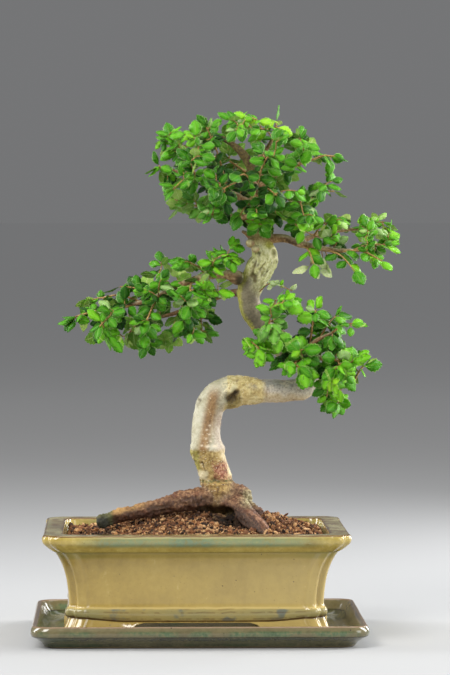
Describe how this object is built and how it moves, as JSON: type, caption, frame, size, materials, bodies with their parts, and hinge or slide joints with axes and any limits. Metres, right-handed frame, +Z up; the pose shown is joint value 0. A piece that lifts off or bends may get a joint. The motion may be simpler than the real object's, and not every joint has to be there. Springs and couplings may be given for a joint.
{
  "type": "potted bonsai tree",
  "caption": "Bonsai elm with a winding trunk, spreading surface roots and separate pads of small leaves, in a rectangular glazed pot that stands in a matching drip tray.",
  "frame": {"origin": "centre of the drip tray's underside, on the surface it stands on", "axes": "+Z up along the tree; +X along the pot's long side, to the right seen from the front; -Y towards the front, the side pictured"},
  "size_m": [0.3087, 0.2234, 0.4453],
  "materials": {
    "pot_glaze": "gloss glaze, ochre with green and brown edges",
    "tray_glaze": "gloss glaze, olive green and brown",
    "mesh": "moulded plastic screen",
    "soil": "granular potting mix of baked clay, grit and bark",
    "bark": "thin grey-brown bark",
    "leaf": "fresh leaves and green shoots, slightly glossy"
  },
  "bodies": {
    "root": {"drip_tray": "tray_glaze", "pot": "pot_glaze", "drain_mesh_left": "mesh", "drain_mesh_right": "mesh", "soil": "soil", "trunk": "bark", "spray_crown_back": "leaf", "spray_crown_back_left": "leaf", "spray_crown_back_right": "leaf", "spray_crown_front": "leaf", "spray_crown_front_left": "leaf", "spray_crown_front_low": "leaf", "spray_crown_front_right": "leaf", "spray_crown_front_upper": "leaf", "spray_crown_left_front": "leaf", "spray_crown_left_low": "leaf", "spray_crown_left_tip": "leaf", "spray_crown_left_top": "leaf", "spray_crown_left_upper": "leaf", "spray_crown_low_front": "leaf", "spray_crown_low_left": "leaf", "spray_crown_low_right": "leaf", "spray_crown_low_right_front": "leaf", "spray_crown_low_right_tip": "leaf", "spray_crown_right_back": "leaf", "spray_crown_right_front": "leaf", "spray_crown_right_tip": "leaf", "spray_crown_right_upper": "leaf", "spray_crown_top": "leaf", "spray_crown_top_front": "leaf", "spray_crown_top_left": "leaf", "spray_left_back_outer": "leaf", "spray_left_front_inner": "leaf", "spray_left_front_middle": "leaf", "spray_left_front_outer": "leaf", "spray_left_lower": "leaf", "spray_left_lower_inner": "leaf", "spray_left_lower_middle": "leaf", "spray_left_tip": "leaf", "spray_left_upper": "leaf", "spray_left_upper_inner": "leaf", "spray_left_upper_outer": "leaf", "spray_low_drooping": "leaf", "spray_low_front": "leaf", "spray_low_left": "leaf", "spray_low_left_front": "leaf", "spray_low_left_outer": "leaf", "spray_low_middle": "leaf", "spray_low_right": "leaf", "spray_low_right_front": "leaf", "spray_low_upper": "leaf", "spray_low_upper_right": "leaf", "spray_right_back_tip": "leaf", "spray_right_back_upper": "leaf", "spray_right_front": "leaf", "spray_right_front_outer": "leaf", "spray_right_inner": "leaf", "spray_right_tip": "leaf", "spray_right_upper": "leaf"}
  },
  "joints": []
}
